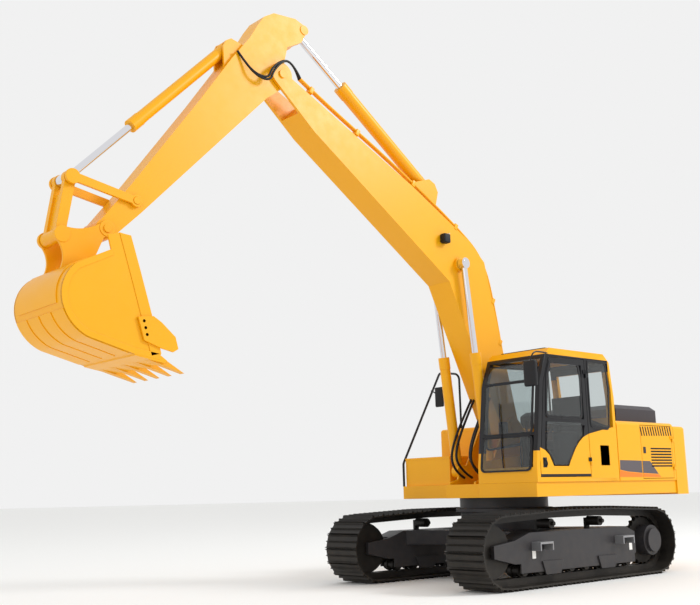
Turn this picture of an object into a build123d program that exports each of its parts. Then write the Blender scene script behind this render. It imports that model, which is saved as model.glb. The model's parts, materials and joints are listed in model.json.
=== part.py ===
"""Crawler excavator, 21-tonne class, with a backhoe front.

Frame: +X forward along the boom, +Y to the left (cab side), +Z up, millimetres. The origin
is on the ground, at the middle of the machine's whole length. The working front is held in
one pose: boom raised, arm out, bucket half curled.
"""
import os
from math import acos, atan2, cos, degrees, hypot, pi, radians, sin, sqrt

from build123d import *

os.makedirs("parts", exist_ok=True)

# ---------------------------------------------------------------- driving dimensions
# Undercarriage
TRACK_GAUGE = 2200          # between the middles of the two tracks
SHOE_WIDTH = 600
IDLER_X = 1660              # ahead of the swing axis
SPROCKET_X = -1615
TRACK_RADIUS = 453          # wheel axle to the tips of the grousers
SHOE_COUNT = 49
GROUSER_HEIGHT = 26
SHOE_PLATE = 18
LINK_HEIGHT = 82
LINK_WIDTH = 46
LINK_SPREAD = 120           # between the middles of the two link rows
TOP_RUN_RISE = 42           # how much the carrier rollers lift the top run
CARRIER_X = (520, -540)

# Upper structure
UPPER_WIDTH = 2710
DECK_BOTTOM = 1090
DECK_TOP = 1270
TAIL_RADIUS = 2970
COUNTERWEIGHT_FRONT = -2290
HOUSE_TOP = 2090
CAB_FRONT = 950
CAB_REAR = -830
CAB_RIGHT = 385
CAB_TOP = 2990
PANEL_GAP = 8

# Working front
BOOM_FOOT = (0, 2050)       # x, z of the boom's foot pin
BOOM_LENGTH = 5785
BOOM_ANGLE = 46.3           # foot pin to tip pin, above level
BOOM_WIDTH = 400
ARM_LENGTH = 3265
ARM_ANGLE = -45.2
ARM_WIDTH = 310
BUCKET_WIDTH = 1080
BUCKET_ANGLE = -14.9        # bucket pin to the pin of the bucket link
BUCKET_PIN_SPAN = 507
SIDE_LINK_LENGTH = 741
BUCKET_LINK_LENGTH = 628
PLATE = 14

BOOM_EYE = (2250, 845)      # boom cylinder's pin, in the boom's own frame
ARM_CYLINDER_BASE = (3289, 1279)
ARM_EAR = (-779, 223)       # in the arm's own frame
BUCKET_CYLINDER_BASE = (365, 640)
SIDE_LINK_PIN = (2772, 12)
BOOM_CYLINDER_FOOT = (600, 1450)
BOOM_CYLINDER_Y = 292

HOUSE_SEAMS = (-190, -890, -1410)
PIN_GAP = 6                 # side gap between an eye and its ears
KNUCKLE = 12                # hinge radius
PIN_PLAY = 0.5              # between a pin and the hole it turns in
ROD_PLAY = 0.5              # between a rod and its gland
SEAT = 0.3                  # between a piece and what it rests on

# ---------------------------------------------------------------- pin places
def turned(origin, angle, point):
    """A point of a link's own frame, given in the machine's side view."""
    c, s = cos(radians(angle)), sin(radians(angle))
    return (origin[0] + point[0] * c - point[1] * s, origin[1] + point[0] * s + point[1] * c)


def circles_meet(a, radius_a, b, radius_b, side):
    """Where two link circles cross, on the left (1) or right (-1) of a to b."""
    span = hypot(b[0] - a[0], b[1] - a[1])
    along = (span ** 2 + radius_a ** 2 - radius_b ** 2) / (2 * span)
    off = side * sqrt(radius_a ** 2 - along ** 2)
    ux, uz = (b[0] - a[0]) / span, (b[1] - a[1]) / span
    return (a[0] + along * ux - off * uz, a[1] + along * uz + off * ux)


BOOM_TIP = turned(BOOM_FOOT, BOOM_ANGLE, (BOOM_LENGTH, 0))
BUCKET_PIN = turned(BOOM_TIP, ARM_ANGLE, (ARM_LENGTH, 0))
BUCKET_LINK_PIN = turned(BUCKET_PIN, BUCKET_ANGLE, (BUCKET_PIN_SPAN, 0))
BOOM_EYE_PIN = turned(BOOM_FOOT, BOOM_ANGLE, BOOM_EYE)
ARM_BASE_PIN = turned(BOOM_FOOT, BOOM_ANGLE, ARM_CYLINDER_BASE)
ARM_EAR_PIN = turned(BOOM_TIP, ARM_ANGLE, ARM_EAR)
BUCKET_BASE_PIN = turned(BOOM_TIP, ARM_ANGLE, BUCKET_CYLINDER_BASE)
IDLER_LINK_PIN = turned(BOOM_TIP, ARM_ANGLE, SIDE_LINK_PIN)
ROD_PIN = circles_meet(IDLER_LINK_PIN, SIDE_LINK_LENGTH,
                       BUCKET_LINK_PIN, BUCKET_LINK_LENGTH, 1)

FRONT_REACH = BUCKET_LINK_PIN[0] + 160
SWING_X = -(FRONT_REACH - TAIL_RADIUS) / 2


# ---------------------------------------------------------------- planes and small helpers
def side(y):
    """Side view through y: local x is forward of the swing axis, local y is height."""
    return Plane(origin=(SWING_X, y, 0), x_dir=(1, 0, 0), z_dir=(0, -1, 0))


def link_side(pin, angle, y):
    """Side view in a link's own frame, its origin at a pin and x along the link."""
    c, s = cos(radians(angle)), sin(radians(angle))
    return Plane(origin=(SWING_X + pin[0], y, pin[1]), x_dir=(c, 0, s), z_dir=(0, -1, 0))


def top(z):
    return Plane(origin=(SWING_X, 0, z), x_dir=(1, 0, 0), z_dir=(0, 0, 1))


def front(x):
    """Cross section at x, seen from the front: local x is +Y, local y is height."""
    return Plane(origin=(SWING_X + x, 0, 0), x_dir=(0, 1, 0), z_dir=(1, 0, 0))


def ring(plane, places, outer, inner, length, mode=Mode.ADD):
    """Tubes or round bars of one size, half their length each side of the plane."""
    with BuildSketch(plane) as section:
        with Locations(*places):
            Circle(outer)
            if inner:
                Circle(inner, mode=Mode.SUBTRACT)
    extrude(section.sketch, amount=length / 2, both=True, mode=mode)


def slab(plane, points, thickness, mode=Mode.ADD):
    """A plate with straight edges, half its thickness each side of the plane."""
    with BuildSketch(plane) as section:
        with BuildLine():
            Polyline(*points, close=True)
        make_face()
    extrude(section.sketch, amount=thickness / 2, both=True, mode=mode)


def block(x0, x1, y0, y1, z0, z1, mode=Mode.ADD):
    """A box from its sides, x counted from the swing axis."""
    with BuildSketch(top(z0)) as section:
        with Locations(((x0 + x1) / 2, (y0 + y1) / 2)):
            Rectangle(abs(x1 - x0), abs(y1 - y0))
    extrude(section.sketch, amount=z1 - z0, mode=mode)


def upright_hinge(x, y, wall_y, heights, toward, low, high):
    """Door hinges on an upright axis: each knuckle spans low to high above its height, and
    its leaf reaches back to the wall and along it towards the piece that carries it."""
    for z in heights:
        with BuildSketch(top(z + low)) as knuckle:
            with Locations((x, y)):
                Circle(KNUCKLE)
        extrude(knuckle.sketch, amount=high - low)
        block(x, x + toward * 45, wall_y, y, z + low, z + high)


def save(part, name):
    part.label = name
    export_step(part, f"parts/{name}.step")


# ---------------------------------------------------------------- undercarriage
def track_path():
    """The shoe plates' outer face as runs (start, end) and arcs (centre, angles), clockwise
    in the side view from the bottom of the sprocket, and then sampled at each shoe's ends."""
    radius = TRACK_RADIUS - GROUSER_HEIGHT
    axle = TRACK_RADIUS
    top_z = axle + radius
    points = [(SPROCKET_X, axle - radius, 0), (IDLER_X, axle - radius, 0)]
    rise = degrees(atan2(TOP_RUN_RISE, IDLER_X - CARRIER_X[0]))
    fall = degrees(atan2(TOP_RUN_RISE, CARRIER_X[1] - SPROCKET_X))
    path = [("line", points[0][:2], points[1][:2])]
    path.append(("arc", (IDLER_X, axle), -90, 90 - rise))
    p1 = (IDLER_X + radius * cos(radians(90 - rise)), axle + radius * sin(radians(90 - rise)))
    p4 = (SPROCKET_X + radius * cos(radians(90 + fall)),
          axle + radius * sin(radians(90 + fall)))
    p2 = (CARRIER_X[0], top_z + TOP_RUN_RISE)
    p3 = (CARRIER_X[1], top_z + TOP_RUN_RISE)
    path += [("line", p1, p2), ("line", p2, p3), ("line", p3, p4)]
    path.append(("arc", (SPROCKET_X, axle), 90 + fall, 270))
    return path, radius


def shoe_ends():
    """Points and outward normals where one shoe meets the next, all round the loop."""
    path, radius = track_path()
    lengths = []
    for kind, a, b, *rest in path:
        if kind == "line":
            lengths.append(hypot(b[0] - a[0], b[1] - a[1]))
        else:
            lengths.append(radians(rest[0] - b) * radius)
    pitch = sum(lengths) / SHOE_COUNT
    ends = []
    for k in range(SHOE_COUNT):
        s = k * pitch
        for (kind, a, b, *rest), length in zip(path, lengths):
            if s <= length:
                break
            s -= length
        if kind == "line":
            ux, uz = (b[0] - a[0]) / length, (b[1] - a[1]) / length
            ends.append((a[0] + ux * s, a[1] + uz * s))
        else:
            angle = radians(b) + s / radius
            ends.append((a[0] + radius * cos(angle), a[1] + radius * sin(angle)))
    return ends


def inward(points, depth):
    """The same closed loop, moved in by a depth at each corner."""
    moved = []
    for k, p in enumerate(points):
        a, b = points[k - 1], points[(k + 1) % len(points)]
        span = hypot(b[0] - a[0], b[1] - a[1])
        ux, uz = (b[0] - a[0]) / span, (b[1] - a[1]) / span
        moved.append((p[0] - uz * depth, p[1] + ux * depth))
    return moved


def shoe_outline(a, b):
    """One shoe from its end a to b: a bar at each edge and one in the middle."""
    span = hypot(b[0] - a[0], b[1] - a[1])
    ux, uz = (b[0] - a[0]) / span, (b[1] - a[1]) / span
    edge, foot, half = 5, 24, 13
    # along the shoe, out from the plate
    table = [(edge, -SHOE_PLATE / 2), (edge, GROUSER_HEIGHT), (foot, 0),
             (span / 2 - half, 0), (span / 2, GROUSER_HEIGHT), (span / 2 + half, 0),
             (span - foot, 0), (span - edge, GROUSER_HEIGHT), (span - edge, -SHOE_PLATE / 2)]
    return [(a[0] + ux * s + uz * h, a[1] + uz * s - ux * h) for s, h in table]


def track_loop(y):
    ends = shoe_ends()
    outline = []
    for k, a in enumerate(ends):
        outline += shoe_outline(a, ends[(k + 1) % SHOE_COUNT])
    with BuildPart() as loop:
        with BuildSketch(side(y)) as shoes:
            with BuildLine():
                Polyline(*outline, close=True)
            make_face()
            with BuildLine():
                Polyline(*inward(ends, SHOE_PLATE), close=True)
            make_face(mode=Mode.SUBTRACT)
        extrude(shoes.sketch, amount=SHOE_WIDTH / 2, both=True)
        for offset_y in (-LINK_SPREAD / 2, LINK_SPREAD / 2):
            with BuildSketch(side(y + offset_y)) as links:
                with BuildLine():
                    Polyline(*inward(ends, SHOE_PLATE - 2), close=True)
                make_face()
                with BuildLine():
                    Polyline(*inward(ends, SHOE_PLATE + LINK_HEIGHT), close=True)
                make_face(mode=Mode.SUBTRACT)
            extrude(links.sketch, amount=LINK_WIDTH / 2, both=True)
    return loop.part


SIDES = {"left": TRACK_GAUGE / 2, "right": -TRACK_GAUGE / 2}
RAIL_TOP = GROUSER_HEIGHT + SHOE_PLATE + LINK_HEIGHT       # the link rows' inner face
SHOE_RADIUS = TRACK_RADIUS - GROUSER_HEIGHT
HALF_PITCH = (2 * (IDLER_X - SPROCKET_X) + 2 * pi * SHOE_RADIUS) / SHOE_COUNT / 2
TREAD_RADIUS = sqrt(SHOE_RADIUS ** 2 - HALF_PITCH ** 2) - SHOE_PLATE - LINK_HEIGHT - 2 * SEAT
WHEEL_RADIUS = TREAD_RADIUS + 20
FRAME_WIDTH = 300
FRAME_START = SPROCKET_X + 355
ROLLER_RADIUS = 78
ROLLER_Z = RAIL_TOP + ROLLER_RADIUS + SEAT
ROLLER_COUNT = 8
ROLLER_SPACING = 318
CARRIER_RADIUS = 62
FRAME_BOTTOM = ROLLER_Z + ROLLER_RADIUS + 12
CHEEK = 20
FRAME_TOP = 660

for side_name, track_y in SIDES.items():
    save(track_loop(track_y), f"track_{side_name}")

for side_name, track_y in SIDES.items():
    with BuildPart() as frame:
        slab(side(track_y), [
            (FRAME_START, FRAME_BOTTOM), (IDLER_X - 330, FRAME_BOTTOM),
            (IDLER_X + 60, TRACK_RADIUS - 75), (IDLER_X + 60, TRACK_RADIUS + 75),
            (IDLER_X - 330, TRACK_RADIUS + 120), (IDLER_X - 620, FRAME_TOP),
            (SPROCKET_X + 560, FRAME_TOP), (FRAME_START, TRACK_RADIUS + 130)], FRAME_WIDTH)
        # the fork round the idler
        block(IDLER_X - WHEEL_RADIUS - 30, IDLER_X + 70, track_y - 95, track_y + 95,
              0, TRACK_RADIUS * 2, mode=Mode.SUBTRACT)
        for out in (-1, 1):
            block(SPROCKET_X + 390, IDLER_X - 430, track_y + out * (FRAME_WIDTH / 2 - CHEEK),
                  track_y + out * FRAME_WIDTH / 2, ROLLER_Z - 25, FRAME_BOTTOM + 20)
    save(frame.part, f"track_frame_{side_name}")

with BuildPart() as idlers:
    for track_y in SIDES.values():
        ring(side(track_y), [(IDLER_X, TRACK_RADIUS)], TREAD_RADIUS, 0, 150)
        ring(side(track_y), [(IDLER_X, TRACK_RADIUS)], WHEEL_RADIUS, 0, LINK_SPREAD - LINK_WIDTH - 8)
        ring(side(track_y), [(IDLER_X, TRACK_RADIUS)], 60, 0, 190)
save(idlers.part, "idlers")

SPROCKET_TEETH = 21
with BuildPart() as sprockets:
    for track_y in SIDES.values():
        ring(side(track_y), [(SPROCKET_X, TRACK_RADIUS)], WHEEL_RADIUS - 26, 0, 60)
        with BuildSketch(side(track_y)) as teeth:
            with Locations((SPROCKET_X, TRACK_RADIUS)):
                with PolarLocations(WHEEL_RADIUS - 20, SPROCKET_TEETH):
                    Trapezoid(50, 44, 72, rotation=-90)
        extrude(teeth.sketch, amount=30, both=True)
save(sprockets.part, "sprockets")

DRIVE_RADIUS = 205
with BuildPart() as drives:
    for track_y in SIDES.values():
        out = 1 if track_y > 0 else -1
        ring(side(track_y + out * 110), [(SPROCKET_X, TRACK_RADIUS)], DRIVE_RADIUS, 0, 160)
        ring(side(track_y + out * 212), [(SPROCKET_X, TRACK_RADIUS)], DRIVE_RADIUS - 45, 0, 46)
        ring(side(track_y - out * 110), [(SPROCKET_X, TRACK_RADIUS)], DRIVE_RADIUS - 15, 0, 160)
        block(SPROCKET_X + 60, FRAME_START, track_y - out * 50, track_y - out * 130,
              TRACK_RADIUS - 110, TRACK_RADIUS + 110)
save(drives.part, "final_drives")

with BuildPart() as rollers:
    first = (IDLER_X + SPROCKET_X) / 2 - ROLLER_SPACING * (ROLLER_COUNT - 1) / 2
    places = [(first + k * ROLLER_SPACING, ROLLER_Z) for k in range(ROLLER_COUNT)]
    for track_y in SIDES.values():
        ring(side(track_y), places, ROLLER_RADIUS - 14, 0, 250)
        for offset_y in (-LINK_SPREAD / 2, LINK_SPREAD / 2):
            ring(side(track_y + offset_y), places, ROLLER_RADIUS, 0, LINK_WIDTH - 2)
        ring(side(track_y), places, 34, 0, FRAME_WIDTH - 2 * CHEEK)
save(rollers.part, "track_rollers")

CARRIER_Z = 2 * TRACK_RADIUS - RAIL_TOP + TOP_RUN_RISE - CARRIER_RADIUS - 8
with BuildPart() as carriers:
    for track_y in SIDES.values():
        for carrier_x in CARRIER_X:
            ring(side(track_y), [(carrier_x, CARRIER_Z)], CARRIER_RADIUS, 0, 200)
            block(carrier_x - 40, carrier_x + 40, track_y - 145, track_y - 105,
                  FRAME_TOP, CARRIER_Z + 40)
            ring(side(track_y), [(carrier_x, CARRIER_Z)], 26, 0, 290)
save(carriers.part, "carrier_rollers")

STEP_X = (880, -900)
with BuildPart() as steps:
    for track_y in SIDES.values():
        out = 1 if track_y > 0 else -1
        wall = track_y + out * FRAME_WIDTH / 2
        for step_x in STEP_X:
            block(step_x - 130, step_x + 130, wall, wall + out * 140, 520, 545)
            block(step_x - 130, step_x - 112, wall, wall + out * 140, 440, 525)
            block(step_x + 112, step_x + 130, wall, wall + out * 140, 440, 525)
save(steps.part, "track_steps")

with BuildPart() as guards:
    for track_y in SIDES.values():
        for out in (-1, 1):
            wall = track_y + out * FRAME_WIDTH / 2
            for guard_x in (620, -560):
                slab(side(wall + out * 10), [
                    (guard_x - 210, FRAME_BOTTOM + 10), (guard_x - 150, RAIL_TOP + 14),
                    (guard_x + 150, RAIL_TOP + 14), (guard_x + 210, FRAME_BOTTOM + 10)], 20)
save(guards.part, "chain_guards")

CAR_BODY_BOTTOM, CAR_BODY_TOP = 470, 900
CAR_BODY_LENGTH = 1500
TOW_PLATE = 40
TOW_EYE_RADIUS = 32
TOW_EYE = (CAR_BODY_LENGTH / 2 + 95, CAR_BODY_BOTTOM + 85)
with BuildPart() as car_body:
    inner = TRACK_GAUGE / 2 - FRAME_WIDTH / 2
    with BuildSketch(top(CAR_BODY_BOTTOM)) as plan:
        Rectangle(CAR_BODY_LENGTH, 1150)
        for x0, x1 in ((500, 1000), (-500, -1000)):
            for out in (-1, 1):
                with BuildLine():
                    Polyline((x0 - x0 * 0.8, out * 200), (x0, out * inner), (x1, out * inner),
                             (x0 + x0 * 0.4, out * 300), close=True)
                make_face()
    extrude(plan.sketch, amount=190)
    with BuildSketch(top(CAR_BODY_BOTTOM)) as drum:
        Circle(600)
    extrude(drum.sketch, amount=CAR_BODY_TOP - CAR_BODY_BOTTOM)
save(car_body.part, "car_body")

with BuildPart() as tow_lug:
    face = CAR_BODY_LENGTH / 2 + SEAT
    block(face, face + 20, -90, 90, CAR_BODY_BOTTOM + 5, CAR_BODY_BOTTOM + 165)
    slab(side(0), [(face, TOW_EYE[1] - 60), (TOW_EYE[0] + 20, TOW_EYE[1] - 60),
                   (TOW_EYE[0] + 60, TOW_EYE[1] - 20), (TOW_EYE[0] + 60, TOW_EYE[1] + 20),
                   (TOW_EYE[0] + 20, TOW_EYE[1] + 60), (face, TOW_EYE[1] + 60)], TOW_PLATE)
    ring(side(0), [TOW_EYE], TOW_EYE_RADIUS, 0, 2 * TOW_PLATE, mode=Mode.SUBTRACT)
save(tow_lug.part, "tow_lug")

BEARING_RADIUS = 610
with BuildPart() as bearing:
    with BuildSketch(top(CAR_BODY_TOP)) as race:
        Circle(BEARING_RADIUS)
        Circle(BEARING_RADIUS - 110, mode=Mode.SUBTRACT)
    extrude(race.sketch, amount=DECK_BOTTOM - CAR_BODY_TOP - SEAT)
    with BuildSketch(top(CAR_BODY_TOP)) as flange:
        Circle(BEARING_RADIUS + 60)
        Circle(BEARING_RADIUS - 110, mode=Mode.SUBTRACT)
    extrude(flange.sketch, amount=45)
save(bearing.part, "swing_bearing")

# ---------------------------------------------------------------- upper frame and house
HALF = UPPER_WIDTH / 2
BEAM_Y = (214, 242)         # the two upright plates that carry the boom's foot
TANK_FRONT = -190
TANK_LEFT = -430            # the tank's side next to the boom
TANK_REAR = -1150
BOX_FRONT = 600
BOX_RIGHT = -1310
BOX_TOP = 1670
WALL = 40
TANK_WALL = 30
SKIRT = 60

BEAM_END = -1200
with BuildPart() as deck:
    with BuildSketch(top(DECK_BOTTOM)) as plan:
        with BuildLine():
            Polyline((COUNTERWEIGHT_FRONT, -HALF + 20), (BOX_FRONT + 45, -HALF + 20),
                     (BOX_FRONT + 45, TANK_LEFT), (850, -300), (850, 300),
                     (CAB_FRONT, CAB_RIGHT), (CAB_FRONT, HALF - 20),
                     (COUNTERWEIGHT_FRONT, HALF - 20), close=True)
        make_face()
    extrude(plan.sketch, amount=DECK_TOP - DECK_BOTTOM)
    for out in (-1, 1):
        block(COUNTERWEIGHT_FRONT + 120, BOX_FRONT - 60, out * 330, out * (HALF - 110),
              DECK_BOTTOM + 20, DECK_TOP, mode=Mode.SUBTRACT)
        beam = side(out * (BEAM_Y[0] + BEAM_Y[1]) / 2)
        slab(beam, [
            (BEAM_END, DECK_TOP - 20), (850, DECK_TOP - 20), (850, 1300), (690, 1340),
            (BOOM_CYLINDER_FOOT[0], BOOM_CYLINDER_FOOT[1] + 80), (500, 1530), (430, 1640),
            (120, BOOM_FOOT[1] + 90), (0, BOOM_FOOT[1] + 140), (-130, BOOM_FOOT[1] + 90),
            (-420, BOOM_FOOT[1] - 250), (BEAM_END, DECK_TOP + 200)], BEAM_Y[1] - BEAM_Y[0])
        ring(beam, [BOOM_CYLINDER_FOOT], 90, 0, BEAM_Y[1] - BEAM_Y[0])
        ring(side(out * (BOOM_CYLINDER_Y - 5)), [BOOM_CYLINDER_FOOT], 48, 0, 110)
    ring(side(0), [BOOM_FOOT], 60, 0, 2 * BEAM_Y[1] + 30)
save(deck.part, "revolving_frame")

WEIGHT_TOP = HOUSE_TOP - 40
LIFT_HOLE_X, LIFT_HOLE_Y = -2600, 800
LIFT_HOLE_RADIUS, LIFT_HOLE_DEPTH = 24, 90
with BuildPart() as weight:
    with BuildSketch(top(DECK_BOTTOM - 20)) as plan:
        Circle(TAIL_RADIUS)
        with Locations((COUNTERWEIGHT_FRONT - 1000, 0)):
            Rectangle(2000, UPPER_WIDTH, mode=Mode.INTERSECT)
    extrude(plan.sketch, amount=WEIGHT_TOP - DECK_BOTTOM + 20)
    rear_edges = weight.edges().filter_by(Axis.Z).group_by(Axis.X)[0]
    fillet(rear_edges, radius=160)
    fillet(weight.faces().sort_by(Axis.Z)[-1].outer_wire().edges(), radius=45)
    ring(top(WEIGHT_TOP), [(LIFT_HOLE_X, -LIFT_HOLE_Y), (LIFT_HOLE_X, LIFT_HOLE_Y)],
         LIFT_HOLE_RADIUS, 0, 2 * LIFT_HOLE_DEPTH, mode=Mode.SUBTRACT)
save(weight.part, "counterweight")

# left house: cooling and engine room, open above under the hood
HOOD_FRONT, HOOD_REAR = -1240, COUNTERWEIGHT_FRONT
HOOD_LEFT, HOOD_RIGHT = 1100, -620
HOOD_TOP = 2350
HOUSE_RIGHT = -HALF
DOOR_BOTTOM = DECK_TOP + 25
DOOR_TOP = HOUSE_TOP - 45
DOOR_FRONT, DOOR_REAR = HOUSE_SEAMS[2] - PANEL_GAP, COUNTERWEIGHT_FRONT + 60
HOUSE_HINGES = (1420, 1820)
HOOD_HINGES = (500, 900)
with BuildPart() as house:
    block(COUNTERWEIGHT_FRONT + PANEL_GAP, CAB_REAR - 20, 320, HALF, DECK_TOP, HOUSE_TOP)
    fillet(house.edges().filter_by(Axis.X).sort_by(Axis.Z)[-2:].sort_by(Axis.Y)[-1:], radius=60)
    block(COUNTERWEIGHT_FRONT + PANEL_GAP + WALL, CAB_REAR - 20 - WALL, 320 - 1, HALF - WALL,
          DECK_TOP - 1, HOUSE_TOP - WALL, mode=Mode.SUBTRACT)
    block(HOOD_REAR + 60, HOOD_FRONT - 30, 300, HOOD_LEFT - 40, HOUSE_TOP - 100, HOUSE_TOP + 1,
          mode=Mode.SUBTRACT)
    block(DOOR_REAR, DOOR_FRONT, HALF - WALL - 1, HALF + 1, DOOR_BOTTOM, DOOR_TOP,
          mode=Mode.SUBTRACT)
    upright_hinge(DOOR_REAR, HALF + KNUCKLE, HALF - 1, HOUSE_HINGES, -1, 0, 40)
    for y in HOOD_HINGES:
        ring(side(y), [(HOOD_FRONT + KNUCKLE, HOUSE_TOP + KNUCKLE)], KNUCKLE, 0, 60)
        block(HOOD_FRONT + KNUCKLE, HOOD_FRONT + 40, y - 30, y + 30, HOUSE_TOP - 1,
              HOUSE_TOP + KNUCKLE)
save(house.part, "left_house")

with BuildPart() as right_house:
    block(COUNTERWEIGHT_FRONT + PANEL_GAP, TANK_REAR - PANEL_GAP, -HALF, -320, DECK_TOP, HOUSE_TOP)
    block(COUNTERWEIGHT_FRONT + PANEL_GAP + WALL, TANK_REAR - PANEL_GAP - WALL, -HALF + WALL, -319,
          DECK_TOP - 1, HOUSE_TOP - WALL, mode=Mode.SUBTRACT)
    block(HOOD_REAR + 60, HOOD_FRONT - 30, HOOD_RIGHT + 40, -300, HOUSE_TOP - 100, HOUSE_TOP + 1,
          mode=Mode.SUBTRACT)
    block(DOOR_REAR, DOOR_FRONT, -HALF - 1, -HALF + WALL + 1, DOOR_BOTTOM, DOOR_TOP,
          mode=Mode.SUBTRACT)
    upright_hinge(DOOR_REAR, -HALF - KNUCKLE, -HALF + 1, HOUSE_HINGES, -1, 0, 40)
save(right_house.part, "right_house")

with BuildPart() as engine:
    block(-2150, -1300, -430, 560, DECK_TOP, 2030)
save(engine.part, "engine_block")

with BuildPart() as cooler:
    block(-2150, -1500, 760, 1000, DECK_BOTTOM + 20, 1980)
save(cooler.part, "cooler")

with BuildPart() as pump:
    block(-1750, -1350, -1080, -760, DECK_BOTTOM + 20, 1700)
save(pump.part, "pump")

with BuildPart() as tank:
    block(TANK_REAR, TANK_FRONT, -HALF + 5, TANK_LEFT, DECK_TOP, HOUSE_TOP + 20)
    fillet(tank.edges().filter_by(Axis.Z) + tank.faces().sort_by(Axis.Z)[-1].edges(), radius=45)
    block(TANK_REAR + TANK_WALL, TANK_FRONT - TANK_WALL, -HALF + 5 + TANK_WALL,
          TANK_LEFT - TANK_WALL, DECK_TOP + TANK_WALL, HOUSE_TOP - TANK_WALL, mode=Mode.SUBTRACT)
    ring(top(HOUSE_TOP + 20), [(-420, -760)], 55, 0, 60)
save(tank.part, "tank")

LID_THICK = 30
LID_KNUCKLE = 8
LID_AXIS = (TANK_FRONT + PANEL_GAP + LID_KNUCKLE, BOX_TOP + LID_KNUCKLE)
LID_HINGES = (-1150, -650)
with BuildPart() as box:
    block(TANK_FRONT + PANEL_GAP, BOX_FRONT, BOX_RIGHT, TANK_LEFT - 10, DECK_TOP, BOX_TOP - LID_THICK)
    block(TANK_FRONT + PANEL_GAP + WALL, BOX_FRONT - WALL, BOX_RIGHT + WALL, TANK_LEFT - 10 - WALL,
          DECK_TOP + WALL, BOX_TOP, mode=Mode.SUBTRACT)
    for y in LID_HINGES:
        ring(side(y), [LID_AXIS], LID_KNUCKLE, 0, 50)
        block(TANK_FRONT + PANEL_GAP, LID_AXIS[0], y - 25, y + 25, BOX_TOP - LID_THICK - 10,
              LID_AXIS[1])
save(box.part, "tool_box")

with BuildPart() as lid:
    block(TANK_FRONT + PANEL_GAP + 8, BOX_FRONT + 3, BOX_RIGHT - 3, TANK_LEFT - 7,
          BOX_TOP - LID_THICK + SEAT, BOX_TOP)
    for y in LID_HINGES:
        block(LID_AXIS[0] - 1, LID_AXIS[0] + 8, y - 26, y + 26, BOX_TOP - LID_THICK, BOX_TOP,
              mode=Mode.SUBTRACT)
        ring(side(y + 50 + SEAT), [LID_AXIS], LID_KNUCKLE - SEAT, 0, 50)
        block(LID_AXIS[0], LID_AXIS[0] + 30, y + 25 + SEAT, y + 75 + SEAT, BOX_TOP - 1,
              LID_AXIS[1] - SEAT)
save(lid.part, "tool_box_lid")

RAIL_RADIUS = 17
RAIL_Y = -HALF + 18
def rail(points, radius, mode=Mode.ADD):
    """A bent tube along a path of straight runs and tangent bends."""
    with BuildLine(mode=Mode.PRIVATE) as path:
        FilletPolyline(*points, radius=radius)
    with BuildSketch(Plane(origin=path.line @ 0, z_dir=path.line % 0)) as section:
        Circle(RAIL_RADIUS)
    sweep(section.sketch, path=path.line, mode=mode)


def place(x, y, z):
    return (SWING_X + x, y, z)


with BuildPart() as rails:
    rail([place(BOX_FRONT + 24, RAIL_Y, DECK_TOP), place(BOX_FRONT + 24, RAIL_Y, 1600),
          place(-230, RAIL_Y, 2990), place(-620, RAIL_Y + 45, 2990),
          place(-620, RAIL_Y + 45, HOUSE_TOP + 20)], 90)
save(rails.part, "handrails")

# ---------------------------------------------------------------- cab
CAB_LEFT = HALF
PILLAR = 60
GLASS = 6
DOOR_X = (-190, 880)        # the doorway along the cab
CAB_HINGES = (1480, 2640)
cab_side = [(CAB_REAR, DECK_TOP), (CAB_FRONT, DECK_TOP), (CAB_FRONT - 5, 1500), (800, 2550),
            (655, 2900), (560, CAB_TOP), (-640, CAB_TOP), (-770, 2880), (CAB_REAR, 2400)]
with BuildPart() as cab:
    middle = (CAB_LEFT + CAB_RIGHT) / 2
    slab(side(middle), cab_side, CAB_LEFT - CAB_RIGHT)
    with BuildSketch(side(middle)) as room:
        with BuildLine():
            Polyline(*cab_side, close=True)
        make_face()
        offset(amount=-PILLAR)
    extrude(room.sketch, amount=(CAB_LEFT - CAB_RIGHT) / 2 - PILLAR, both=True,
            mode=Mode.SUBTRACT)
    # doorway
    door_hole = [(DOOR_X[0], DECK_TOP + 60), (DOOR_X[1], DECK_TOP + 60), (DOOR_X[1] - 5, 1500),
                 (725, 2550), (590, 2870), (DOOR_X[0], 2890)]
    slab(side(CAB_LEFT), door_hole, 3 * PILLAR, mode=Mode.SUBTRACT)
    # rear side window, both sides, and the right window
    slab(side(CAB_LEFT), [(-270, 2080), (-770, 1980), (-770, 2500), (-720, 2860), (-270, 2870)],
         3 * PILLAR, mode=Mode.SUBTRACT)
    slab(side(CAB_RIGHT), [(-760, 1750), (850, 1560), (725, 2550), (600, 2860), (-720, 2860),
                           (-760, 2500)], 3 * PILLAR, mode=Mode.SUBTRACT)
    # windscreen, lower screen and rear window
    with BuildSketch(front(CAB_FRONT + 10)) as screens:
        with Locations((middle, 2360), (middle, 1640)):
            Rectangle(CAB_LEFT - CAB_RIGHT - 130, 960)
    with BuildSketch(front(CAB_FRONT + 10)) as screens:
        with Locations((middle, 2375)):
            Rectangle(CAB_LEFT - CAB_RIGHT - 130, 950)
        with Locations((middle, 1660)):
            Rectangle(CAB_LEFT - CAB_RIGHT - 130, 400)
    extrude(screens.sketch, amount=-420, mode=Mode.SUBTRACT)
    with BuildSketch(front(CAB_REAR - 10)) as rear_window:
        with Locations((middle, 2450)):
            Rectangle(CAB_LEFT - CAB_RIGHT - 200, 640)
    extrude(rear_window.sketch, amount=150, mode=Mode.SUBTRACT)
    upright_hinge(DOOR_X[0], CAB_LEFT + KNUCKLE, CAB_LEFT - 1, CAB_HINGES, -1, 0, 50)
save(cab.part, "cab")

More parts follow.
